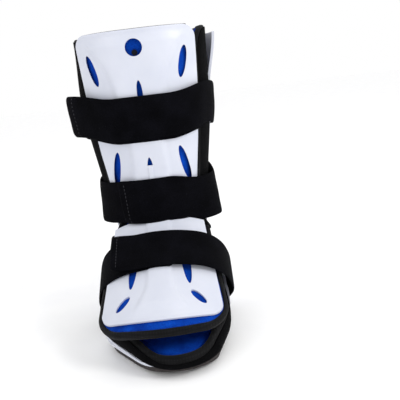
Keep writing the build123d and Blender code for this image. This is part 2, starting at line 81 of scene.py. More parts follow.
# %% Section of the leg and of the foot
AXIS_Y = -5.0  # all angles are taken about a vertical line here; 0 looks to the toes, + to the right
TURN = np.radians(np.arange(0.0, 360.0, 1.5))
TOP = cad_high.z * 1000
BEND = np.array((0.0, -53.0, 117.0))  # where shin and instep meet, on the panels' middle line
RUN, DROP = 107.0, 59.0
DOWN = np.array((0.0, -RUN, -DROP)) / math.hypot(RUN, DROP)
OFF = np.array((0.0, -DROP, RUN)) / math.hypot(RUN, DROP)
ACROSS = np.array((1.0, 0.0, 0.0))
INSTEP_R = 110.0  # radius of the instep panel's outer face

STATIONS = np.array((
    # height, half width, front, back, corner radius of the leg cavity
    (9.0, 33.0, -36.0, 58.0, 31.0),
    (60.0, 35.0, -38.0, 60.0, 33.0),
    (110.0, 43.0, -40.2, 50.0, 38.0),
    (165.0, 51.0, -42.8, 53.0, 44.0),
    (235.0, 62.0, -46.2, 62.0, 52.0),
    (TOP + 4.0, 66.0, -50.7, 66.0, 54.0),
))
FOOT_LOW = np.array(((0, 22, 30), (-19, -103, 34), (12, -146, 33), (18, -120, 34)), float)
FOOT_HIGH = np.array(((0, 4, 38), (-30, -118, 40), (-2, -146, 42), (38, -118, 40)), float)
FOOT_FROM, FOOT_TO = 9.0, 112.0


def ease(value, start, end):
    """Smooth step: 0 before start, 1 after end, and 3t^2 - 2t^3 between them."""
    t = np.clip((value - start) / (end - start), 0.0, 1.0)
    return t * t * (3.0 - 2.0 * t)


def smooth_curve(value, places, sizes, spread):
    """Straight interpolation averaged over a spread, so that its corners turn into curves."""
    around = np.asarray(value, float)[..., None] + np.linspace(-spread, spread, 9)
    return np.interp(around, places, sizes).mean(-1)


def leg_size(height):
    """Half width, front, back and corner radius: straight interpolation, averaged over 24 mm."""
    spread = np.linspace(-12.0, 12.0, 9)
    height = np.asarray(height, float)[..., None] + spread
    return [np.interp(height, STATIONS[:, 0], STATIONS[:, k]).mean(-1) for k in (1, 2, 3, 4)]


def ray_length(support, angle):
    """Distance to a convex outline along a ray: the least support over the cosine to its normal."""
    facing = np.cos(TURN - angle[..., None])
    return np.where(facing > 0.15, support / np.maximum(facing, 0.15), 1e9).min(-1)


def leg_reach(angle, height, grow):
    """How far the grown leg section reaches from the axis: a rounded rectangle's support."""
    half, front, back, corner = (v[..., None] for v in leg_size(height))
    middle = (front + back) / 2 - AXIS_Y
    support = (half - corner) * np.abs(np.sin(TURN)) + corner + grow[..., None]
    support = support + ((back - front) / 2 - corner) * np.abs(np.cos(TURN)) - middle * np.cos(TURN)
    return ray_length(support, angle)


def foot_reach(angle, height, grow):
    """The same for the foot: the hull of four circles that slide and swell with height."""
    share = ((np.clip(height, FOOT_FROM, FOOT_TO) - FOOT_FROM) / (FOOT_TO - FOOT_FROM))[..., None, None]
    circles = FOOT_LOW + share * (FOOT_HIGH - FOOT_LOW)
    x, y, radius = (circles[..., k, None] for k in (0, 1, 2))
    support = (x * np.sin(TURN) - (y - AXIS_Y) * np.cos(TURN) + radius).max(-2) + grow[..., None]
    return ray_length(support, angle) * (1.0 - 0.45 * ease(height, 96.0, 128.0))


def boot_point(angle, height, grow, with_foot=True):
    """Points on the grown body. Leg and foot join by a power mean, which rounds their crease."""
    angle, height, grow = np.broadcast_arrays(*(np.asarray(v, float) for v in (angle, height, grow)))
    reach = leg_reach(angle, height, grow)
    if with_foot:
        reach = (reach ** 30 + foot_reach(angle, height, grow) ** 30) ** (1 / 30)
    return np.stack((reach * np.sin(angle), AXIS_Y - reach * np.cos(angle), height), -1)


def front_point(across, height, grow):
    """Points on the front of the leg by their place across: flat in the middle, then an arc."""
    half, front, _, corner = leg_size(height)
    past = np.maximum(np.abs(across) - (half - corner), 0.0)
    depth = np.sqrt(np.maximum((corner + grow) ** 2 - past ** 2, 0.0))
    across, depth, height = np.broadcast_arrays(across, front + corner - depth, height)
    return np.stack((across, depth, height), -1)


def slope_point(across, down, off):
    """Points given across, down the instep's slope and off its surface."""
    across, down, off = np.broadcast_arrays(across, down, off)
    return BEND + across[..., None] * ACROSS + down[..., None] * DOWN + off[..., None] * OFF


print("leg at calf strap", [round(float(v), 1) for v in leg_size(236.0)])

# %% [markdown]
# ## From point grids to solid pieces
# Every plate or sheet here is two grids of points, its outer and its inner face. Closing the rim
# between them gives a solid with true wall thickness, which a single sheet with a modifier
# would also give, but here the thickness may fade at an edge to round it.

# %% Mesh helpers
def finish_mesh(name, points, faces, body, smooth=40.0):
    """Makes the object in metres, welds its seams, turns its faces outwards and shades it smooth."""
    mesh = bpy.data.meshes.new(name)
    mesh.from_pydata((points * 0.001).tolist(), [], faces)
    work = bmesh.new()
    work.from_mesh(mesh)
    bmesh.ops.remove_doubles(work, verts=work.verts, dist=2e-6)
    bmesh.ops.dissolve_degenerate(work, edges=work.edges, dist=1e-6)
    bmesh.ops.recalc_face_normals(work, faces=work.faces)
    work.to_mesh(mesh)
    work.free()
    mesh.shade_smooth()
    mesh.set_sharp_from_angle(angle=math.radians(smooth))
    piece = bpy.data.objects.new(name, mesh)
    bpy.context.scene.collection.objects.link(piece)
    if body:
        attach(piece, body)
    return piece


def grid_faces(index, wrap=False):
    """Quads between neighbouring rows and columns of an index grid."""
    if wrap:
        index = np.concatenate((index, index[:, :1]), 1)
    a, b, c, d = index[:-1, :-1], index[:-1, 1:], index[1:, 1:], index[1:, :-1]
    return np.stack((a, b, c, d), -1).reshape(-1, 4)


def slab(name, outer, inner, body, wrap=False, side_rows=None, smooth=40.0):
    """A closed solid between two grids: both faces, and the rim along each open side."""
    rows, columns = outer.shape[:2]
    front = np.arange(rows * columns).reshape(rows, columns)
    back = front + rows * columns
    faces = [grid_faces(front, wrap), grid_faces(back, wrap)]
    for row in (0, -1):
        faces.append(grid_faces(np.stack((front[row], back[row])), wrap))
    if not wrap:
        open_rows = slice(None) if side_rows is None else side_rows
        for column in (0, -1):
            faces.append(grid_faces(np.stack((front[open_rows, column], back[open_rows, column]))))
    points = np.concatenate((outer.reshape(-1, 3), inner.reshape(-1, 3)))
    return finish_mesh(name, points, np.concatenate(faces).tolist(), body, smooth)


def bar(name, path, side, out, half_side, half_out, body, closed=False, power=2.6, around=20):
    """A rounded bar along a path: at each point a superellipse spanned by side and out."""
    turn = np.linspace(0, 2 * np.pi, around, endpoint=False)
    c, s = np.cos(turn), np.sin(turn)
    c, s = np.sign(c) * np.abs(c) ** (2 / power), np.sign(s) * np.abs(s) ** (2 / power)
    fade = np.ones(len(path))
    if not closed:
        length = np.concatenate(([0], np.linalg.norm(np.diff(path, axis=0), axis=1).cumsum()))
        near_end = np.minimum(length, length[-1] - length) / max(half_side, half_out)
        fade = np.sqrt(np.clip(1 - (1 - np.clip(near_end, 0, 1)) ** 2, 0.0004, 1))
    ring = path[:, None] + fade[:, None, None] * (
        half_side * c[:, None] * side[:, None] + half_out * s[:, None] * out[:, None])
    index = np.arange(ring.shape[0] * around).reshape(-1, around)
    if closed:
        index = np.concatenate((index, index[:1]))
    faces = grid_faces(index, wrap=True).tolist()
    if not closed:
        faces += [index[0].tolist(), index[-1].tolist()]
    return finish_mesh(name, ring.reshape(-1, 3), faces, body)


def unit(vectors):
    """Vectors scaled to length one."""
    return vectors / np.linalg.norm(vectors, axis=-1, keepdims=True)


def lens_cutter(places):
    """Prisms with a leaf outline: half width falls from the middle as (1 - s^2.4)^0.55."""
    step = np.linspace(0, 2 * np.pi, 48, endpoint=False)
    along, sign = np.cos(step), np.sign(np.sin(step))
    points, faces = [], []
    for centre, up, right, deep, length, width in places:
        outline = centre + np.outer(along * length / 2, up)
        outline = outline + np.outer(sign * width / 2 * (1 - np.abs(along) ** 2.4) ** 0.55, right)
        base = len(points) * 96
        points.append(np.concatenate((outline + deep, outline - deep)))
        index = base + np.arange(96).reshape(2, 48)
        faces += grid_faces(index, wrap=True).tolist() + [index[0].tolist(), index[1][::-1].tolist()]
    return finish_mesh("cutter", np.concatenate(points), faces, None)


def cut(piece, cutter):
    """Takes the cutter out of the piece, and then removes it."""
    hole = piece.modifiers.new("holes", "BOOLEAN")
    hole.operation, hole.solver, hole.object = "DIFFERENCE", "EXACT", cutter
    bake(piece)
    bpy.data.objects.remove(cutter)


def bake(piece):
    """Applies all modifiers of a piece to its mesh."""
    graph = bpy.context.evaluated_depsgraph_get()
    done = bpy.data.meshes.new_from_object(piece.evaluated_get(graph))
    piece.modifiers.clear()
    piece.data = done
    done.shade_smooth()
    done.set_sharp_from_angle(angle=math.radians(40))


def round_edges(piece, width):
    """Bevels the sharp edges of a plate by a width in millimetres."""
    edge = piece.modifiers.new("edge", "BEVEL")
    edge.width, edge.segments, edge.limit_method = width * 0.001, 2, "ANGLE"
    edge.angle_limit = math.radians(50)
    bake(piece)


def dress(piece, material, slot, *replaced):
    """Gives a piece its material and hides the CAD nodes that it stands for; the slot argument is not used.
    """
    piece.data.materials.clear()
    piece.data.materials.append(material)
    if replaced:
        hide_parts(*replaced)
    print(piece.name, len(piece.data.polygons), "faces")


# %% [markdown]
# ## Materials
# Colour, weave and gloss come from nodes on object coordinates, which here are real metres, so
# each pattern is set by its true size. Threads finer than about a millimetre would vanish at the
# size of the picture, so loops and ribs are drawn about twice as coarse as on real tape.

# %% Node helpers
def colour(code):
    """sRGB hex to linear RGBA."""
    parts = [int(code[i:i + 2], 16) / 255 for i in (1, 3, 5)]
    return [c / 12.92 if c <= 0.04045 else ((c + 0.055) / 1.055) ** 2.4 for c in parts] + [1.0]


def add_node(tree, kind, settings=None, **inputs):
    """Adds one node; settings are its properties, inputs are values or sockets to link."""
    made = tree.nodes.new(kind)
    for key, value in (settings or {}).items():
        setattr(made, key, value)
    for key, value in inputs.items():
        socket = made.inputs[key.replace("_", " ")]
        if isinstance(value, bpy.types.NodeSocket):
            tree.links.new(value, socket)
        else:
            socket.default_value = value
    return made


def new_material(name):
    """A material with an empty Principled shader and object coordinates in metres."""
    material = bpy.data.materials.new(name)
    material.use_nodes = True
    tree = material.node_tree
    shader = tree.nodes["Principled BSDF"]
    place = add_node(tree, "ShaderNodeTexCoord").outputs["Object"]
    return material, tree, shader, place


def ramp(tree, factor, *stops):
    """A colour ramp from pairs of position and hex colour."""
    made = add_node(tree, "ShaderNodeValToRGB", Fac=factor)
    while len(made.color_ramp.elements) < len(stops):
        made.color_ramp.elements.new(0.5)
    for element, (position, code) in zip(made.color_ramp.elements, stops):
        element.position, element.color = position, colour(code)
    return made.outputs["Color"]


def size_mm(value):
    """Texture scale whose pattern repeats about every value millimetres."""
    return 1000.0 / value


# %% Polypropylene, moulded smooth
def polypropylene():
    """White polypropylene sheet: waxy, half gloss, with faint flow marks and fine handling scuffs."""
    material, tree, shader, place = new_material("polypropylene_white")
    flow = add_node(tree, "ShaderNodeTexNoise", Vector=place, Scale=size_mm(45), Detail=3.0)
    tint = ramp(tree, flow.outputs["Fac"], (0.3, "#C9CDDA"), (0.7, "#D4D7E2"))
    tree.links.new(tint, shader.inputs["Base Color"])
    scuff = add_node(tree, "ShaderNodeTexNoise", Vector=place, Scale=size_mm(6), Detail=6.0)
    gloss = add_node(tree, "ShaderNodeMapRange", Value=scuff.outputs["Fac"], To_Min=0.3, To_Max=0.5)
    tree.links.new(gloss.outputs["Result"], shader.inputs["Roughness"])
    grain = add_node(tree, "ShaderNodeTexNoise", Vector=place, Scale=size_mm(1.2), Detail=2.0)
    bump = add_node(tree, "ShaderNodeBump", Height=grain.outputs["Fac"], Strength=0.05, Distance=0.0004)
    tree.links.new(bump.outputs["Normal"], shader.inputs["Normal"])
    shader.inputs["IOR"].default_value = 1.49
    shader.inputs["Subsurface Weight"].default_value = 0.08
    shader.inputs["Subsurface Radius"].default_value = (0.004, 0.004, 0.005)
    shader.inputs["Subsurface Scale"].default_value = 1.0
    return material


# %% Brushed loop fabric and plush webbing
def loop_fabric(name, dark, light, loop, nap, sheen):
    """Knitted loops brushed up into a nap: cells of loop size, clouded by the way the nap lies."""
    material, tree, shader, place = new_material(name)
    bend = add_node(tree, "ShaderNodeTexNoise", Vector=place, Scale=size_mm(nap), Detail=4.0)
    cells = add_node(tree, "ShaderNodeTexVoronoi", Vector=place, Scale=size_mm(loop), Randomness=0.9)
    fibres = add_node(tree, "ShaderNodeTexNoise", Vector=place, Scale=size_mm(loop / 2), Detail=5.0)
    mixed = add_node(tree, "ShaderNodeMath", {"operation": "MULTIPLY"})
    tree.links.new(bend.outputs["Fac"], mixed.inputs[0])
    tree.links.new(fibres.outputs["Fac"], mixed.inputs[1])
    tint = ramp(tree, mixed.outputs["Value"], (0.14, dark), (0.42, light))
    tree.links.new(tint, shader.inputs["Base Color"])
    lift = add_node(tree, "ShaderNodeMath", {"operation": "ADD"})
    tree.links.new(cells.outputs["Distance"], lift.inputs[0])
    tree.links.new(fibres.outputs["Fac"], lift.inputs[1])
    bump = add_node(tree, "ShaderNodeBump", Height=lift.outputs["Value"], Strength=0.55, Distance=0.0007)
    tree.links.new(bump.outputs["Normal"], shader.inputs["Normal"])
    shader.inputs["Roughness"].default_value = 0.95
    shader.inputs["Specular IOR Level"].default_value = 0.06
    shader.inputs["Sheen Weight"].default_value = sheen
    shader.inputs["Sheen Roughness"].default_value = 0.5
    shader.inputs["Sheen Tint"].default_value = colour(light)
    return material


# %% Woven edge tape
def edge_tape():
    """Charcoal polyester tape: fine ribs both ways, a little shine on each rib."""
    material, tree, shader, place = new_material("woven_edge_tape")
    ribs = add_node(tree, "ShaderNodeTexWave", {"bands_direction": "Z"}, Vector=place,
                    Scale=size_mm(9), Distortion=1.5, Detail=1.0)
    cross = add_node(tree, "ShaderNodeTexWave", {"bands_direction": "X"}, Vector=place,
                     Scale=size_mm(9), Distortion=1.5, Detail=1.0)
    weave = add_node(tree, "ShaderNodeMath", {"operation": "MULTIPLY"})
    tree.links.new(ribs.outputs["Fac"], weave.inputs[0])
    tree.links.new(cross.outputs["Fac"], weave.inputs[1])
    wear = add_node(tree, "ShaderNodeTexNoise", Vector=place, Scale=size_mm(12), Detail=5.0)
    shade = add_node(tree, "ShaderNodeMath", {"operation": "MULTIPLY_ADD"})
    tree.links.new(weave.outputs["Value"], shade.inputs[0])
    shade.inputs[1].default_value = 0.5
    tree.links.new(wear.outputs["Fac"], shade.inputs[2])
    tint = ramp(tree, shade.outputs["Value"], (0.35, "#040405"), (0.9, "#131315"))
    tree.links.new(tint, shader.inputs["Base Color"])
    bump = add_node(tree, "ShaderNodeBump", Height=weave.outputs["Value"], Strength=0.4, Distance=0.0004)
    tree.links.new(bump.outputs["Normal"], shader.inputs["Normal"])
    shader.inputs["Roughness"].default_value = 0.8
    shader.inputs["Specular IOR Level"].default_value = 0.12
    shader.inputs["Sheen Weight"].default_value = 0.04
    return material


# %% Rubber, steel, hook tape and thread
def speckled(name, dark, light, grain, roughness, metallic=0.0, strength=0.2, specular=0.5):
    """A plain finish with a grain: noise of grain size drives both tint and bump."""
    material, tree, shader, place = new_material(name)
    noise = add_node(tree, "ShaderNodeTexNoise", Vector=place, Scale=size_mm(grain), Detail=6.0)
    tint = ramp(tree, noise.outputs["Fac"], (0.35, dark), (0.65, light))
    tree.links.new(tint, shader.inputs["Base Color"])
    bump = add_node(tree, "ShaderNodeBump", Height=noise.outputs["Fac"], Strength=strength,
                    Distance=0.0004)
    tree.links.new(bump.outputs["Normal"], shader.inputs["Normal"])
    shader.inputs["Roughness"].default_value = roughness
    shader.inputs["Metallic"].default_value = metallic
    shader.inputs["Specular IOR Level"].default_value = specular
    return material


white_plastic = polypropylene()
blue_loop = loop_fabric("blue_brushed_loop", "#052C86", "#0B4CBC", 1.6, 14.0, 0.15)
black_loop = loop_fabric("black_brushed_loop", "#030304", "#0B0B0D", 1.6, 18.0, 0.03)
webbing = loop_fabric("black_plush_webbing", "#020204", "#0A0A10", 1.9, 22.0, 0.04)
binding = edge_tape()
# Sole rubber: its own grey, tinted darker overall as painted shade for the sole's shadowed right side.
rubber = speckled("sole_rubber_with_painted_shade", "#262222", "#3A3434", 2.5, 0.85)
steel = speckled("nickel_plated_steel", "#A9ACB2", "#C6C8CC", 0.8, 0.32, metallic=1.0, strength=0.05)
hooks = speckled("black_hook_tape", "#060608", "#141417", 0.9, 0.6, strength=0.8, specular=0.15)
stud_plastic = speckled("dark_snap_plastic", "#04060E", "#0A0F20", 2.0, 0.6, specular=0.15)
thread = speckled("polyester_thread", "#26262A", "#46464C", 0.6, 0.7, specular=0.2)
print(len(bpy.data.materials), "materials")

# %% [markdown]
# ## The rear shell
# On the real boot this is one vacuum-formed polypropylene trough that turns into the foot bed.
# It could be cut from a solid, but a formed sheet is naturally one grid: rows go down the trough
# and end across the sole plate, columns run from the right trim edge round the heel to the left.

# %% Rear shell
SHELL_IN, SHELL_OUT = 9.5, 12.5
SHELL_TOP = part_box("rear_shell")[1].z * 1000
TOE_TUCK = 6.5
WING_START, WING_PULL = 250.0, 5.0
TRIM_HEIGHT = np.array((9.0, 13.0, 14.5, 18.0, 25.0, 40.0, 52.0, 57.0, 64.0, 76.0, 100.0, 400.0))
TRIM_FRONT = np.array((-230.0, -230.0, -172.0, -138.0, -118.0, -98.0, -78.0, -60.0, -30.0, -6.0, 3.5, 4.0))


def trim_angles(height, front, grow):
    """For each row, the angles right and left at which the body comes forward to a given depth."""
    sweep = np.radians(np.linspace(0.0, 179.0, 240))
    edges = []
    for sign in (1.0, -1.0):
        depth = boot_point(sign * sweep[None], height[:, None], grow)[..., 1]
        edges.append(np.array([sign * np.interp(f, d, sweep) for f, d in zip(front, depth)]))
    return edges


def toe_tuck(angle):
    """0 to 1 round the big-toe side, where the liner bulges over the shell's low rim."""
    degrees = np.degrees(np.mod(np.asarray(angle) + np.pi, 2 * np.pi) - np.pi)
    return ease(degrees, -10.0, 4.0) * (1.0 - ease(degrees, 55.0, 80.0))


def wing_flare(angle, height, sprung):
    """Near the top the strap pulls the left wing in by 5 mm, and the right one springs out."""
    degrees = np.degrees(np.mod(np.asarray(angle) + np.pi, 2 * np.pi) - np.pi)
    right = sprung * ease(height, WING_START, SHELL_TOP) * ease(degrees, 30.0, 70.0)
    left = -WING_PULL * ease(height, WING_START, TOP) * ease(-degrees, 20.0, 60.0)
    right = right * (1 - ease(degrees, 95.0, 150.0))
    left = left * (1 - ease(-degrees, 95.0, 150.0))
    return right + left


def shell_faces(columns):
    """Outer and inner grid of the shell: trough rows first, then rows that cross the plate."""
    tall = np.concatenate((np.linspace(SHELL_TOP, 76.0, 56), np.linspace(75.0, 13.0, 72)))
    front = np.interp(tall, TRIM_HEIGHT, TRIM_FRONT)
    right, left = trim_angles(tall, front, np.full((len(tall), 1), SHELL_OUT))
    share = np.linspace(0.0, 1.0, columns)
    angle = right[:, None] + share * (2 * np.pi + left - right)[:, None]
    tuck = TOE_TUCK * toe_tuck(angle) * ease(-tall[:, None], -34.0, -20.0)
    flare = wing_flare(angle, tall[:, None], 9.5) - tuck
    outer = boot_point(angle, tall[:, None], SHELL_OUT + flare)
    inner = boot_point(angle, tall[:, None], SHELL_IN + flare)
    full = share * 2 * np.pi
    tuck = TOE_TUCK * toe_tuck(full)
    roll = np.radians(np.linspace(0, 90, 7))[:, None]
    rim_out = boot_point(full, 13.0, SHELL_OUT - tuck - 4.0 * (1 - np.cos(roll)))
    rim_out[..., 2] = 13.0 - 4.0 * np.sin(roll)
    rim_in = boot_point(full, 13.0, SHELL_IN - tuck - 1.0 * (1 - np.cos(roll)))
    rim_in[..., 2] = 13.0 - 1.0 * np.sin(roll)
    centre = np.array((0.0, AXIS_Y, 0.0))
    shrink = np.linspace(1.0, 0.0, 9)[1:, None, None]
    plates = [centre + (rim[-1] - centre) * np.concatenate((np.repeat(shrink, 2, 2), np.ones_like(shrink)), 2)
              for rim in (rim_out, rim_in)]
    outer = np.concatenate((outer, rim_out, plates[0]))
    inner = np.concatenate((inner, rim_in, plates[1]))
    return outer, inner, len(tall) - int((front < -205.0).sum())


outer, inner, open_count = shell_faces(220)
rear_shell = slab("moulded_rear_shell", outer, inner, "root", side_rows=slice(0, open_count + 1))
vents = [(np.array((x, 60.0, z)), np.array((0, 0, 1.0)), ACROSS, np.array((0, 40.0, 0)), 38.0, 10.0)
         for x in (-22.0, 22.0) for z in (143.0, 205.0, 267.0)]
cut(rear_shell, lens_cutter(vents))
dress(rear_shell, white_plastic, "white_plastic", "rear_shell")

# %% [markdown]
# ## The liner
# The liner is foam with a brushed cloth on both faces, black outside and blue inside. It could be
# one solid with two materials; two laminated layers are closer to how it is made, and each then
# has one fabric. Bound edges are rounded bars that swallow the raw edge of both layers.

# %% Calf liner
LINER = 8.0
LINER_FRONT = -29.0
SPLIT = 96.0
WING_CORNER = 26.0


def wing_grid(grow):
    """Rows up the liner and columns round it; each wing's top corner is an arc of 26 mm.

    In front of the shell's edge the foam springs out by 5 mm on the right and 4 mm on the left."""
    table = np.linspace(SPLIT, TOP, 80)
    right, left = trim_angles(table, np.full(len(table), LINER_FRONT), np.full((len(table), 1), 4.0))
    share = np.linspace(0.0, 1.0, 161)
    share = share - 0.028 * np.sin(4 * np.pi * share)
    into = np.clip(WING_CORNER - np.minimum(share, 1.0 - share) * 330.0, 0.0, WING_CORNER)
    top = TOP - 3.0 - (WING_CORNER - np.sqrt(WING_CORNER ** 2 - into ** 2))
    height = SPLIT + 0.5 + np.linspace(0.0, 1.0, 60)[:, None] * (top - SPLIT - 0.5)
    first, last = np.interp(height, table, right), np.interp(height, table, left)
    angle = first + share * (2 * np.pi + last - first)
    forward = -boot_point(angle, height, grow)[..., 1]
    spring = np.where(np.sin(angle) > 0, 5.0, 4.0) * ease(forward, -2.0, 8.0) * ease(height, 104.0, 125.0)
    return boot_point(angle, height, grow + spring + wing_flare(angle, height, -0.5))


calf_lining = slab("calf_liner_lining", wing_grid(LINER / 2), wing_grid(0.0), "root")
dress(calf_lining, blue_loop, "blue_lining", "calf_liner")
calf_cover = slab("calf_liner_cover", wing_grid(LINER), wing_grid(LINER / 2 + 0.05), "root")
dress(calf_cover, black_loop, "black_lining")

# %% Binding round the wings and the top of the calf liner
def border(grid):
    """The open border of a grid: up its first column, along its last row, down its last column."""
    return np.concatenate((grid[:-1, 0], grid[-1], grid[-2::-1, -1]))


def even_path(path, count, spread):
    """A path resampled to even steps and averaged over a few of them, its ends kept."""
    length = np.concatenate(([0], np.linalg.norm(np.diff(path, axis=0), axis=1).cumsum()))
    even = np.linspace(0, length[-1], count)
    path = np.stack([np.interp(even, length, path[:, k]) for k in range(3)], -1)
    held = np.pad(path, ((spread, spread), (0, 0)), "reflect", reflect_type="odd")
    kernel = np.ones(2 * spread + 1) / (2 * spread + 1)
    return np.stack([np.convolve(held[:, k], kernel, "valid") for k in range(3)], -1)


path = even_path(border(wing_grid(LINER / 2)), 420, 3)
out = unit(even_path(border(wing_grid(LINER)), 420, 3) - path)
side = unit(np.cross(unit(np.gradient(path, axis=0)), out))
wing_edge = bar("calf_liner_edge_tape", path, side, out, 2.6, LINER / 2 + 0.6, "root")
dress(wing_edge, binding, "binding", "calf_liner_binding")

# %% Foot liner
WINDOW_Y = np.array((-260.0, -172.0, -162.0, -150.0, -120.0, -60.0, -20.0))
WINDOW_Z = np.array((18.5, 19.5, 26.0, 42.0, 65.0, 93.0, 96.0))
UNDERSIDE = 99.0


def foot_top(angle):
    """Height of the foot liner's edge: under the instep panel's sides, and low at the toes."""
    place = boot_point(angle, 40.0, 4.0)
    depth = place[..., 1] - 0.24 * place[..., 0]
    window = smooth_curve(depth, WINDOW_Y, WINDOW_Z, 7.0)
    level = np.linspace(14.0, SPLIT, 84)
    point = boot_point(angle[:, None], level, LINER + 2.0)
    off = (point - BEND) @ OFF
    allowed = UNDERSIDE + 0.35 * np.clip(np.abs(point[..., 0]) - 58.0, 0.0, 30.0)
    blocked = (np.hypot(point[..., 0], off + INSTEP_R) > allowed) & ((point - BEND) @ DOWN > -14.0)
    panel = np.where(blocked, level, SPLIT).min(-1)
    top = np.minimum(window, panel)
    around = np.stack([np.roll(top, k) for k in range(-5, 6)])
    return around.mean(0)


def foot_layer(name, low_grow, high_grow):
    """One layer of the foot liner: a ring from the insole up to the edge, bulging at the toes."""
    angle = np.radians(np.linspace(0.0, 360.0, 240, endpoint=False))
    share = np.linspace(0.0, 1.0, 30)[:, None]
    height = 12.8 - 3.0 * toe_tuck(angle) * (high_grow > 5) + share * (foot_top(angle) - 3.0 - 12.8)
    forward = ease(-boot_point(angle, 45.0, 4.0)[..., 1], 72.0, 100.0)
    start = 0.04 + 0.2 * toe_tuck(angle)
    puff = 4.8 * forward * np.sin(np.pi * (start + (0.93 - start) * share) ** 0.9)
    outer = boot_point(angle, height, high_grow + (puff if high_grow > 5 else 0.0))
    inner = boot_point(angle, height, low_grow + 0.0 * share)
    return slab(name, outer, inner, "root", wrap=True)


dress(foot_layer("foot_liner_lining", 0.0, LINER / 2), blue_loop, "blue_lining", "foot_liner")
dress(foot_layer("foot_liner_cover", LINER / 2 + 0.05, LINER), black_loop, "black_lining")
angle = np.radians(np.linspace(0.0, 360.0, 300, endpoint=False))
height = foot_top(angle) - 3.0
path = boot_point(angle, height, LINER / 2)
out = unit(boot_point(angle, height, LINER) - path)
side = unit(np.cross(unit(np.roll(path, -1, 0) - np.roll(path, 1, 0)), out))
foot_edge = bar("foot_liner_edge_tape", path, side, out, 4.0, LINER / 2 + 0.7, "root", closed=True)
dress(foot_edge, binding, "binding", "foot_liner_binding")

# %% [markdown]
# ## The shin panel
# The white plate is narrower at the ankle, has rounded top corners, and a raised middle that
# narrows downwards and stiffens it. A grid over the front of the leg carries that relief as a
# small change of grow, and the openings are cut afterwards, when the plate is already a solid.

# %% Shin panel
SHIN_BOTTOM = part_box("shin_panel")[0].z * 1000
PANEL_IN, PANEL_OUT = 9.3, 11.8
PANEL_EDGE_Z = np.array((120.0, 170.0, 206.0, 258.0, 300.0, TOP))
PANEL_EDGE_X = np.array((50.0, 53.0, 55.5, 61.5, 64.0, 65.0))
RIDGE_Z = np.array((120.0, 172.0, 206.0, 262.0, 284.0, 300.0, 316.0, TOP))
RIDGE_X = np.array((22.0, 20.0, 18.0, 26.0, 31.0, 40.0, 52.0, 60.0))


def shin_half_width(height, corner):
    """Half width of the panel: its waist, less a circular corner of the given radius at the top."""
    half = smooth_curve(height, PANEL_EDGE_Z, PANEL_EDGE_X, 14.0)
    into = np.clip(height - (TOP - corner), 0.0, corner)
    return half - corner + np.sqrt(corner ** 2 - into ** 2)


def shin_relief(across, height):
    """The raised middle: a soft step of 2.6 mm at the ridge line, fading near the top edge."""
    ridge = smooth_curve(height, RIDGE_Z, RIDGE_X, 12.0)
    step = 1.0 - ease(np.abs(across), ridge - 2.6, ridge + 2.6)
    return 2.6 * step * (1.0 - ease(height, TOP - 16.0, TOP - 4.0))


def shin_grid(grow):
    """Rows up the panel and columns across it, closer together at the rounded corners."""
    rise = 1.0 - (1.0 - np.linspace(0.0, 1.0, 110)) ** 1.7
    height = (SHIN_BOTTOM + rise * (TOP - SHIN_BOTTOM))[:, None]
    share = np.sin(np.linspace(-np.pi / 2, np.pi / 2, 91))
    across = share * shin_half_width(height, 13.0)
    lip = 0.8 * ease(height, TOP - 5.0, TOP)
    return front_point(across, height, grow + shin_relief(across, height) + lip)


shin_panel = slab("shin_panel_plate", shin_grid(PANEL_OUT), shin_grid(PANEL_IN), "shin_front")
UP = np.array((0.0, 0.0, 1.0))
BACK = np.array((0.0, 26.0, 0.0))
shin_slots = []
for side_sign in (-1.0, 1.0):
    for x, z, length, width, tilt in ((48.2, 288.4, 34.0, 7.8, 13.5), (38.0, 179.0, 42.0, 8.0, -10.0)):
        lean = math.radians(side_sign * tilt)
        tall = np.array((math.sin(lean), 0.0, math.cos(lean)))
        wide = np.array((math.cos(lean), 0.0, -math.sin(lean)))
        shin_slots.append((np.array((side_sign * x, -48.0, z)), tall, wide, BACK, length, width))
shin_slots.append((np.array((0.0, -58.0, 258.0)), UP, ACROSS, BACK, 32.0, 6.4))
cut(shin_panel, lens_cutter(shin_slots))


def prism_cutter(outline, middle, deep):
    """A prism from an outline in the front plane, through the plate."""
    flat = np.stack((outline[:, 0], np.full(len(outline), middle), outline[:, 1]), -1)
    shift = np.array((0.0, deep, 0.0))
    index = np.arange(2 * len(outline)).reshape(2, -1)
    faces = grid_faces(index, wrap=True).tolist() + [index[0].tolist(), index[1][::-1].tolist()]
    return finish_mesh("cutter", np.concatenate((flat - shift, flat + shift)), faces, None)


turn = np.linspace(0.0, 2 * np.pi, 48, endpoint=False)
VENT = np.array((0.0, TOP - 18.5))
cut(shin_panel, prism_cutter(VENT + 9.0 * np.stack((np.cos(turn), np.sin(turn)), -1), -60.0, 20.0))
flank = np.array(((1.1, 190.2), (2.2, 187.2), (3.1, 182.4)))
arrow = np.concatenate((((0.0, 191.8),), flank, flank[::-1] * (-1.0, 1.0)))
cut(shin_panel, prism_cutter(arrow, -56.0, 20.0))
round_edges(shin_panel, 0.5)
dress(shin_panel, white_plastic, "white_plastic", "shin_panel")
height = np.linspace(181.5, 163.0, 20)
path = front_point(np.zeros(20), height, PANEL_OUT + 2.6)
tongue = bar("shin_panel_tongue", path, np.tile(ACROSS, (20, 1)), np.tile(-BACK / 26.0, (20, 1)), 2.7, 1.0,
             "shin_front", power=5.0)
dress(tongue, white_plastic, "white_plastic")

# %% [markdown]
# ## The instep panel
# This plate lies on the instep like a saddle: an arc across, straight down the slope, turned up a
# little at the ankle, with a curved toe edge. It is again a grid, in the slope's own directions.

# %% Instep panel
INSTEP_TOE = 134.0
INSTEP_START = -5.0


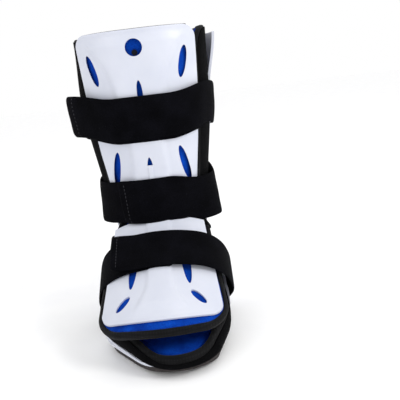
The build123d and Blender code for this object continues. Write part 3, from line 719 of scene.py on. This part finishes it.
def instep_grid(lower, extra_side, extra_toe, corner, start, relief=False, bow=13.0):
    """Across and down the slope; the toe edge bows back at its sides and its corners are arcs."""
    share = np.sin(np.linspace(-np.pi / 2, np.pi / 2, 91))
    along = np.linspace(0.0, 1.0, 90)[:, None]
    half = 51.0 + 10.0 * along + extra_side
    across = share * half
    last = half[-1, 0]
    past = np.clip(np.abs(share) * last - (last - corner), 0.0, corner)
    toe = INSTEP_TOE + extra_toe - bow * share ** 2 - (corner - np.sqrt(corner ** 2 - past ** 2))
    down = start + along * (toe - start)
    radius = INSTEP_R - lower
    off = np.sqrt(radius ** 2 - across ** 2) - INSTEP_R
    off = off + 2.6 * ease(-down, -16.0, 5.0)
    if relief:
        ridge = smooth_curve(down, np.array((-20.0, 70.0, 94.0, 118.0, 140.0)),
                             np.array((14.0, 12.5, 13.5, 25.0, 40.0)), 8.0)
        step = 1.0 - ease(np.abs(across), ridge - 2.2, ridge + 2.2)
        off = off + 2.2 * step * (1.0 - ease(down, 112.0, 124.0))
        off = off + 0.7 * ease(down, toe - 4.0, toe)
    return slope_point(across, down, off)


instep_panel = slab("instep_panel_plate", instep_grid(0.0, 0.0, 0.0, 12.0, INSTEP_START, True),
                    instep_grid(2.5, 0.0, 0.0, 12.0, INSTEP_START, True), "instep_front")
instep_slots = []
for side_sign in (-1.0, 1.0):
    for x, down, length, width, tilt in ((27.0, 52.0, 76.0, 9.5, 5.0), (38.0, 105.5, 20.0, 8.0, 43.0)):
        lean = math.radians(side_sign * tilt)
        tall = math.sin(lean) * ACROSS + math.cos(lean) * DOWN
        wide = math.cos(lean) * ACROSS - math.sin(lean) * DOWN
        centre = slope_point(np.array(side_sign * x), np.array(down), np.array(-5.0))
        instep_slots.append((centre, tall, wide, 16.0 * OFF, length, width))
cut(instep_panel, lens_cutter(instep_slots))
round_edges(instep_panel, 0.5)
dress(instep_panel, white_plastic, "white_plastic", "instep_panel")

# %% [markdown]
# ## Pads
# Foam pads faced with blue loop cloth sit under both panels. Each is a slab whose thickness falls
# to its edges, and that slab gives the shape. A cloth simulation under pressure follows, but the
# rigid panel holds the foam, so its movement is capped at a fraction of a millimetre. Nearly every
# point reaches the cap, so it only adds a thin, almost even offset.

# %% Pads
def pillow(shape, power=6.0, least=0.25):
    """Thickness factor over a grid: full inside, falling to the least value at all four edges."""
    v = np.linspace(-1.0, 1.0, shape[0])[:, None]
    u = np.linspace(-1.0, 1.0, shape[1])[None]
    return least + (1.0 - least) * np.sqrt((1 - np.abs(v) ** power) * (1 - np.abs(u) ** power))


def foam_swell(piece, voxel, cap):
    """Even mesh, 20 frames of cloth under pressure, each point kept within cap of its start, in mm."""
    even = piece.modifiers.new("even", "REMESH")
    even.mode, even.voxel_size = "VOXEL", voxel * 0.001
    bake(piece)
    cloth = piece.modifiers.new("cloth", "CLOTH")
    cloth.settings.use_pressure = True
    cloth.settings.uniform_pressure_force = 4.0
    cloth.settings.effector_weights.gravity = 0.0
    cloth.point_cache.frame_start, cloth.point_cache.frame_end = 1, 20
    for frame_number in range(1, 21):
        bpy.context.scene.frame_set(frame_number)
    count = len(piece.data.vertices) * 3
    start, end = np.empty(count), np.empty(count)
    piece.data.vertices.foreach_get("co", start)
    blown = piece.evaluated_get(bpy.context.evaluated_depsgraph_get())
    blown.data.vertices.foreach_get("co", end)
    moved = (end - start).reshape(-1, 3)
    far = np.maximum(np.linalg.norm(moved, axis=1, keepdims=True), cap * 0.001)
    piece.modifiers.clear()
    piece.data.vertices.foreach_set("co", start + (moved * cap * 0.001 / far).ravel())
    smooth = piece.modifiers.new("smooth", "SUBSURF")
    smooth.levels = smooth.render_levels = 1
    bake(piece)
    print(piece.name, "swelled by up to", round(float(far.max()) * 1000, 2), "mm before the cap")
    bpy.context.scene.frame_set(1)


def shin_pad_grid(grow, fade):
    """The pad follows the panel but stops where the liner's wings begin."""
    height = np.linspace(SHIN_BOTTOM + 1.0, TOP - 3.0, 70)[:, None]
    half, front, _, corner = leg_size(height)
    reach = half - corner + np.sqrt((corner + 5.0) ** 2 - (front + corner + 32.5) ** 2)
    across = np.linspace(-1.0, 1.0, 50) * np.minimum(reach, shin_half_width(height, 13.0) + 3.0)
    return front_point(across, height, 5.0 + (grow - 5.0) * fade)


fade = pillow((70, 50))
shin_pad = slab("shin_pad_cushion", shin_pad_grid(8.4, fade), shin_pad_grid(1.6, fade), "shin_front")
foam_swell(shin_pad, 3.0, 0.7)
dress(shin_pad, blue_loop, "blue_lining", "shin_pad")

path = shin_pad_grid(5.0, np.ones((70, 50)))[-1]
out = unit(shin_pad_grid(8.0, np.ones((70, 50)))[-1] - path)
side = unit(np.cross(unit(np.gradient(path, axis=0)), out))
pad_edge = bar("shin_pad_edge_tape", path, side, out, 4.0, 3.9, "shin_front")
dress(pad_edge, binding, "binding", "shin_pad_binding")

fade = pillow((90, 91), 10.0, 0.4)
PAD_SHAPE = {"extra_side": 1.5, "extra_toe": 10.5, "corner": 20.0, "start": INSTEP_START + 1.0, "bow": 19.0}
middle = instep_grid(7.0, **PAD_SHAPE)
half_thick = 0.5 * (instep_grid(2.9, **PAD_SHAPE) - instep_grid(10.6, **PAD_SHAPE))
instep_pad = slab("instep_pad_cushion", middle + half_thick * fade[..., None],
                  middle - half_thick * fade[..., None], "instep_front")
foam_swell(instep_pad, 3.0, 0.6)
dress(instep_pad, blue_loop, "blue_lining", "instep_pad")


# %% Binding round the instep pad
def instep_binding():
    """Edge path: down the left side, along the toe edge and back up the right side."""
    path = even_path(border(instep_grid(7.0, **PAD_SHAPE)), 260, 2)
    hub = np.array((0.0, 0.0, -INSTEP_R))
    local = np.stack((path[:, 0], 0 * path[:, 0], (path - BEND) @ OFF), -1) - hub
    out = unit(local[:, :1] * ACROSS + local[:, 2:] * OFF)
    side = unit(np.cross(unit(np.gradient(path, axis=0)), out))
    return path, side, out


path, side, out = instep_binding()
instep_edge = bar("instep_pad_edge_tape", path, side, out, 3.4, 4.4, "instep_front")
dress(instep_edge, binding, "binding", "instep_pad_binding")

# %% Insole
angle = np.radians(np.linspace(0.0, 360.0, 160, endpoint=False))
shrink = np.concatenate((np.linspace(0.02, 0.9, 12), np.linspace(0.93, 1.0, 5)))[:, None]
edge = boot_point(angle, 14.0, -1.0)
flat = np.array((0.0, AXIS_Y, 0.0)) + (edge - np.array((0.0, AXIS_Y, 14.0))) * shrink[..., None]
round_off = 2.6 * np.sqrt(1.0 - np.clip((shrink - 0.9) / 0.1, 0.0, 1.0) ** 2)
upper, lower = flat.copy(), flat.copy()
upper[..., 2] = 15.4 + round_off + 0.0 * angle
lower[..., 2] = 15.4 - round_off + 0.0 * angle
insole = slab("insole_cushion", upper, lower, "root", wrap=True)
foam_swell(insole, 3.5, 0.5)
dress(insole, blue_loop, "blue_lining", "insole_pad")

# %% [markdown]
# ## Straps
# The straps are thick plush webbing. A cloth simulation would lose their crisp edges, so each is a
# band carried along its route: a grid of angle round the leg and place across the width, whose
# thickness falls at the edges. The over-straps bend at their riveted tab on the real boot; here each
# is one band fixed in place, and only its stitches and hook patch move with the swinging body.

# %% Bands round the leg
def rounded_ends(half_width, corner, rows):
    """Places across a band from -1 to 1, and how far its end draws back there for round corners."""
    v = np.sin(np.linspace(-np.pi / 2, np.pi / 2, rows))[:, None]
    past = np.clip(np.abs(v) * half_width - (half_width - corner), 0.0, corner)
    return v, corner - np.sqrt(corner ** 2 - past ** 2)


def leg_band(name, middle, width, start, end, route, lift, thick, body):
    """A band round the leg between two angles, returned with the grid of its outer face.

    Route gives its distance off the leg and lift its rise, both by angle and place across."""
    v, inset = rounded_ends(width / 2, 6.0, 25)
    share = np.linspace(0.0, 1.0, 170)[None]
    last = np.radians(end) + np.sign(start - end) * inset / 75.0
    angle = np.radians(start) + share * (last - np.radians(start))
    degrees = np.degrees(angle)
    tall = middle + v * width / 2 + lift(degrees, v)
    soft = 0.3 * np.sin(angle * 9.0 + v * 2.0) * np.cos(angle * 4.0 - v * 3.0)
    mid = route(degrees, v) + soft
    edge = np.sqrt(1 - 0.97 * np.abs(v) ** 10) * np.sqrt(1 - 0.9 * np.abs(2 * share - 1) ** 150)
    outer = boot_point(angle, tall, mid + thick / 2 * edge, with_foot=False)
    inner = boot_point(angle, tall, mid - thick / 2 * edge, with_foot=False)
    return slab(name, outer, inner, body), outer


def stitches(name, line, body, length=2.6, gap=1.6, radius=0.32):
    """A row of sewn stitches along a line: each is a small spindle, thickest in its middle."""
    steps = np.linalg.norm(np.diff(line, axis=0), axis=1)
    along = np.concatenate(([0], steps.cumsum()))
    starts = np.arange(1.0, along[-1] - length - 1.0, length + gap)
    at = starts[:, None] + np.linspace(0.0, length, 5)
    centre = np.stack([np.interp(at, along, line[:, k]) for k in range(3)], -1)
    turn = np.linspace(0, 2 * np.pi, 6, endpoint=False)
    heading = unit(centre[:, -1] - centre[:, 0])
    first = unit(np.cross(heading, np.array((0.31, 0.2, 0.93))))
    second = np.cross(heading, first)
    size = radius * np.array((0.35, 0.9, 1.0, 0.9, 0.35))[:, None, None]
    ring = np.cos(turn)[:, None] * first[:, None, None] + np.sin(turn)[:, None] * second[:, None, None]
    points = centre[:, :, None] + size * ring
    index = np.arange(points.size // 3).reshape(len(starts), 5, 6)
    faces = np.concatenate([grid_faces(i, wrap=True) for i in index]).tolist()
    faces += index[:, 0].tolist() + index[:, -1, ::-1].tolist()
    piece = finish_mesh(name, points.reshape(-1, 3), faces, body)
    dress(piece, thread, "loop_fabric")


def between(value, low, high, soft):
    """1 between two values and 0 outside, with soft flanks."""
    return ease(value, low - soft, low + soft) * (1.0 - ease(value, high - soft, high + soft))


CALF, ANKLE = 235.0, 143.0
OVER_THICK, LOOP_THICK, HOOK_THICK = 2.8, 2.4, 0.8
HOOK_INSET, HOOK_DROP = 8.0, 1.7
CALF_ROUTES = {
    # the free end runs straight on past the leg, so it stands further and further off
    "over": lambda a, v: 17.6 - 1.8 * between(a, 60.0, 105.0, 12.0) + 11.0 * ease(-a, 46.0, 84.0),
    "loop": lambda a, v: 14.2 + 1.0 * between(-a, 60.0, 100.0, 12.0),
}
ANKLE_ROUTES = {
    # both sides stand off the ankle, more so at the lower edge
    "over": lambda a, v: 17.6 - 3.0 * ease(a, -8.0, 26.0) + (10.5 - 6.0 * v) * between(a, 62.0, 100.0, 22.0),
    "loop": lambda a, v: 14.2 + (5.5 - 4.5 * v) * between(-a, 62.0, 100.0, 22.0),
}


def calf_lift(angle, v):
    """The calf band climbs a little round both sides of the leg."""
    return 7.0 * between(np.abs(angle), 50.0, 98.0, 22.0)


def ankle_lift(angle, v):
    """The ankle band sinks towards the right and a little towards the left."""
    return -7.5 * between(angle, 40.0, 105.0, 22.0) - 2.0 * between(-angle, 50.0, 100.0, 18.0)


def over_strap(name, middle, width, tab_angle, free_angle, route, lift, body, hinge_x, hook_node, *cad):
    """One over-strap from its tab to its free end, fixed in place, with its stitches and hook patch, which
    move with the swinging body.
    """
    piece, outer = leg_band(name, middle, width, tab_angle, free_angle, route, lift, OVER_THICK, None)
    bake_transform(piece)
    dress(piece, webbing, "loop_fabric", *cad)
    stitches(name + "_stitches", outer[2:-2, -9], body)
    patch, _ = leg_band(name + "_hooks", middle, width - HOOK_INSET, free_angle + 29.0, free_angle + 3.0,
                        lambda a, v: route(a, v) - HOOK_DROP, lift, HOOK_THICK, body)
    dress(patch, hooks, "hook_tape", hook_node)


over_strap("calf_over_strap", CALF, 46.0, 121.0, -79.0, CALF_ROUTES["over"], calf_lift,
           "calf_band", 0.0817, "calf_strap_hook", "calf_strap", "calf_strap_tab")
over_strap("ankle_over_strap", ANKLE, 50.0, 131.0, -40.5, ANKLE_ROUTES["over"], ankle_lift,
           "ankle_band", 0.0701, "ankle_strap_hook", "ankle_strap", "ankle_strap_tab")
calf_loop, _ = leg_band("calf_loop_strap", CALF - 3.5, 46.0, -121.0, 74.0, CALF_ROUTES["loop"],
                        calf_lift, LOOP_THICK, "root")
dress(calf_loop, webbing, "loop_fabric", "calf_under_strap")
ankle_loop, _ = leg_band("ankle_loop_strap", ANKLE, 48.0, -131.0, -6.0, ANKLE_ROUTES["loop"],
                         ankle_lift, LOOP_THICK, "root")
dress(ankle_loop, webbing, "loop_fabric", "ankle_under_strap")

# %% Bands over the instep
STRAP_AT = 45.0
HEADING_AT = np.array((0.0, 15.0, 40.0, 60.0, 85.0, 110.0, 160.0))
HEADING = np.radians((0.0, 6.0, 16.0, 35.0, 68.0, 88.0, 90.0))


def wall_across(depth, height, side_sign, grow):
    """How far out the shell's wall is at a depth and height, by a few steps of fixed-point search."""
    angle = np.arctan2(side_sign * 62.0, AXIS_Y - depth)
    for _ in range(6):
        point = boot_point(angle, height, grow)
        angle = np.arctan2(point[..., 0], AXIS_Y - depth)
    return boot_point(angle, height, grow)[..., 0]


def instep_route(place, lift):
    """Across and off the slope by length from the middle: the running sum of a turning heading."""
    length = np.linspace(0.0, 160.0, 321)
    heading = smooth_curve(length, HEADING_AT, HEADING, 6.0)
    across = np.concatenate(([0], (np.cos(heading) * length[1])[:-1].cumsum()))
    off = lift - np.concatenate(([0], (np.sin(heading) * length[1])[:-1].cumsum()))
    return np.sign(place) * np.interp(np.abs(place), length, across), np.interp(np.abs(place), length, off)


def instep_band(name, start, end, reach, lift, thick, body, raise_end=0.0, far_side=None, width=50.0):
    """A band over the instep, from its free end across the top and down to the shell's far wall."""
    v, inset = rounded_ends(width / 2, 6.0, 25)
    share = np.linspace(0.0, 1.0, 170)[None]
    first = start + np.sign(end - start) * inset
    place = first + share * (end - first)
    x, u = instep_route(place, lift + thick / 2)
    side_sign = far_side or np.sign(end)
    far = x * side_sign > 0
    x = x * np.where(far, reach, 1.0)
    u = u + raise_end * ease(-place * side_sign, 22.0, 60.0)
    points = slope_point(x, STRAP_AT + v * width / 2 + 0.0 * place, u)
    hug = ease(-u, 44.0, 66.0) * far
    wall = wall_across(points[..., 1], np.maximum(points[..., 2], 12.0), side_sign, 14.2)
    points[..., 0] = points[..., 0] * (1 - hug) + wall * hug
    normal = unit(np.cross(unit(np.gradient(points, axis=0)), unit(np.gradient(points, axis=1))))
    outward = OFF * 0.6 + np.sign(x)[..., None] * ACROSS
    normal = normal * np.sign((normal * outward).sum(-1))[..., None]
    shift = normal * (thick / 2 * np.sqrt(1 - 0.97 * np.abs(v) ** 10) + 0.0 * share)[..., None]
    return slab(name, points + shift, points - shift, body), points + shift


instep_over, upper_face = instep_band("instep_over_strap", -51.5, 146.0, 0.96, 4.0, OVER_THICK, None, 9.0)
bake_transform(instep_over)
dress(instep_over, webbing, "loop_fabric", "instep_strap", "instep_strap_tab")
stitches("instep_over_strap_stitches", upper_face[2:-2, 5], "instep_band")
instep_hook, _ = instep_band("instep_hook_patch", -49.0, -24.0, 1.0, 3.4, HOOK_THICK,
                             "instep_band", 9.0, 1.0, 50.0 - HOOK_INSET)
dress(instep_hook, hooks, "hook_tape", "instep_strap_hook")
instep_loop, _ = instep_band("instep_loop_strap", 14.0, -146.0, 0.93, 0.4, LOOP_THICK, "root")
dress(instep_loop, webbing, "loop_fabric", "instep_under_strap")

# %% [markdown]
# ## CAD pieces that already have their true shape
# The sole, its screws and nuts, the rivets, washers, hook dots and the snap stud keep their CAD
# meshes and only take a finish.

# %% Finishes on CAD nodes
finishes = {
    "outsole": rubber, "sole_screws": steel, "sole_nuts": steel, "rivet_washers": steel,
    "strap_rivets_left": steel, "strap_rivets_right": steel, "liner_hook_dots": hooks,
    "shin_pad_stud": stud_plastic,
}
for name, material in finishes.items():
    nodes[name].data.materials.clear()
    nodes[name].data.materials.append(material)
print(len(finishes), "CAD nodes finished")

# %% [markdown]
# ## Studio
# A pale floor, a soft key from the upper right, a broad fill and a white surround.

# %% Floor, light and camera
floor_mesh = bpy.data.meshes.new("floor")
floor_mesh.from_pydata([(-6, -6, 0), (6, -6, 0), (6, 6, 0), (-6, 6, 0)], [], [(0, 1, 2, 3)])
floor = bpy.data.objects.new("floor", floor_mesh)
bpy.context.scene.collection.objects.link(floor)
floor.data.materials.append(speckled("pale_floor", "#FCFCFD", "#FFFFFF", 60.0, 0.9, strength=0.0))


def area_light(name, place, target, size, power):
    """A square soft box that faces a target."""
    lamp = bpy.data.lights.new(name, "AREA")
    lamp.size, lamp.energy = size, power
    holder = bpy.data.objects.new(name, lamp)
    holder.location = place
    holder.rotation_euler = (Vector(target) - Vector(place)).to_track_quat("-Z", "Y").to_euler()
    bpy.context.scene.collection.objects.link(holder)


area_light("key", (1.5, -0.9, 1.3), (0, -0.05, 0.15), 0.6, 13.0)
area_light("fill", (-1.3, -1.5, 0.9), (0, -0.05, 0.15), 1.0, 2.0)
area_light("rear", (0.3, 1.4, 1.3), (0, 0, 0.2), 1.2, 3.0)
world = bpy.data.worlds.new("studio")
bpy.context.scene.world = world
world.use_nodes = True
world.node_tree.nodes["Background"].inputs["Color"].default_value = (1.0, 1.0, 1.0, 1.0)
world.node_tree.nodes["Background"].inputs["Strength"].default_value = 1.0
bpy.context.scene.view_settings.view_transform = "Standard"

AZIMUTH, ELEVATION, ROLL = math.radians(0.75), math.radians(13.0), math.radians(6.85)
DISTANCE = 0.623
AIM = Vector((0.04945, -0.060, 0.1381))
back = Vector((math.sin(AZIMUTH) * math.cos(ELEVATION), -math.cos(AZIMUTH) * math.cos(ELEVATION),
               math.sin(ELEVATION)))
level = Vector((math.cos(AZIMUTH), math.sin(AZIMUTH), 0.0))
upward = back.cross(level)
right = math.cos(ROLL) * level - math.sin(ROLL) * upward
up = math.sin(ROLL) * level + math.cos(ROLL) * upward
camera_data = bpy.data.cameras.new("camera")
camera_data.lens, camera_data.sensor_width = 50.85, 36.0
camera = bpy.data.objects.new("camera", camera_data)
turned = Matrix((right, up, back)).transposed().to_4x4()
camera.matrix_world = Matrix.Translation(AIM + back * DISTANCE) @ turned
bpy.context.scene.collection.objects.link(camera)
bpy.context.scene.camera = camera
